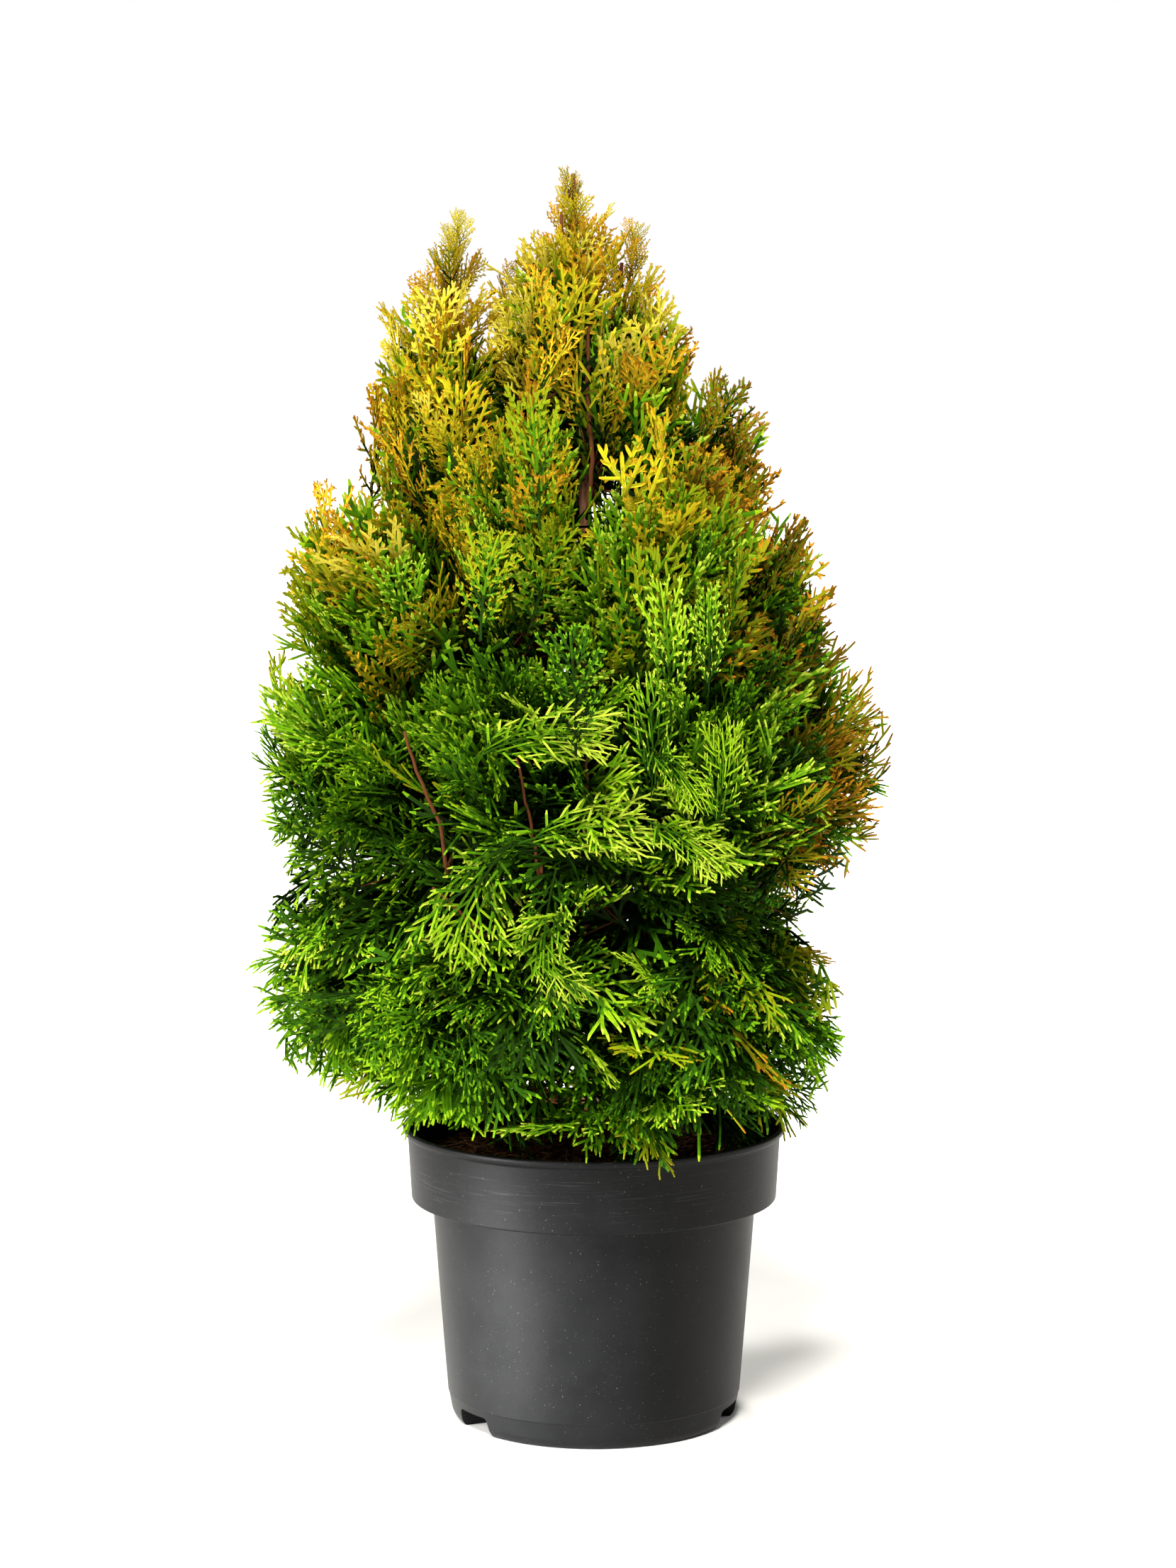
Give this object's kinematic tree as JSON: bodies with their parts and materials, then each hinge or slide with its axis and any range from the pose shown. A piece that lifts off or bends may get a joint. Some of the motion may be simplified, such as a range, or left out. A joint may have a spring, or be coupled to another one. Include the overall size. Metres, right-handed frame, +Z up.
{
  "type": "potted thuja",
  "caption": "Bushy, egg-shaped thuja with golden tips and two leaders, growing in a round black nursery pot with a deep collar and a notched base.",
  "frame": {"origin": "centre of the flat underside of the pot, on the ground, on the pot's axis", "axes": "+Z up along the pot's axis, -Y towards the front of the plant as pictured, +X to its right"},
  "size_m": [0.3842, 0.385, 0.7761],
  "materials": {
    "pot": "satin",
    "compost": "matte",
    "bark": "matte",
    "foliage_gold": "matte",
    "foliage_lime": "matte",
    "foliage_green": "matte"
  },
  "bodies": {
    "root": {"pot": "pot", "compost": "compost", "trunk": "bark", "bough_second_leader": "bark", "bough_right_crest": "bark", "bough_centre_fan": "bark", "bough_left_shoulder": "bark", "bough_front_shoulder": "bark", "bough_right_shoulder": "bark", "bough_back_left_shoulder": "bark", "bough_back_right_shoulder": "bark", "bough_left_side": "bark", "bough_front_side": "bark", "bough_front_right_side": "bark", "bough_right_side": "bark", "bough_back_side": "bark", "bough_back_left_side": "bark", "bough_left_skirt": "bark", "bough_front_left_skirt": "bark", "bough_front_right_skirt": "bark", "bough_right_skirt": "bark", "bough_back_right_skirt": "bark", "bough_back_left_skirt": "bark", "foliage_leader_left": "foliage_gold", "foliage_leader_right": "foliage_gold", "foliage_leader_back": "foliage_gold", "foliage_second_leader": "foliage_gold", "foliage_right_crest": "foliage_lime", "foliage_centre_fan": "foliage_lime", "foliage_left_shoulder": "foliage_lime", "foliage_front_shoulder": "foliage_lime", "foliage_right_shoulder": "foliage_lime", "foliage_back_left_shoulder": "foliage_lime", "foliage_back_right_shoulder": "foliage_lime", "foliage_left_side": "foliage_green", "foliage_front_side": "foliage_green", "foliage_front_right_side": "foliage_green", "foliage_right_side": "foliage_green", "foliage_back_side": "foliage_green", "foliage_back_left_side": "foliage_green", "foliage_left_skirt": "foliage_green", "foliage_front_left_skirt": "foliage_green", "foliage_front_right_skirt": "foliage_green", "foliage_right_skirt": "foliage_green", "foliage_back_right_skirt": "foliage_green", "foliage_back_left_skirt": "foliage_green"}
  },
  "joints": []
}
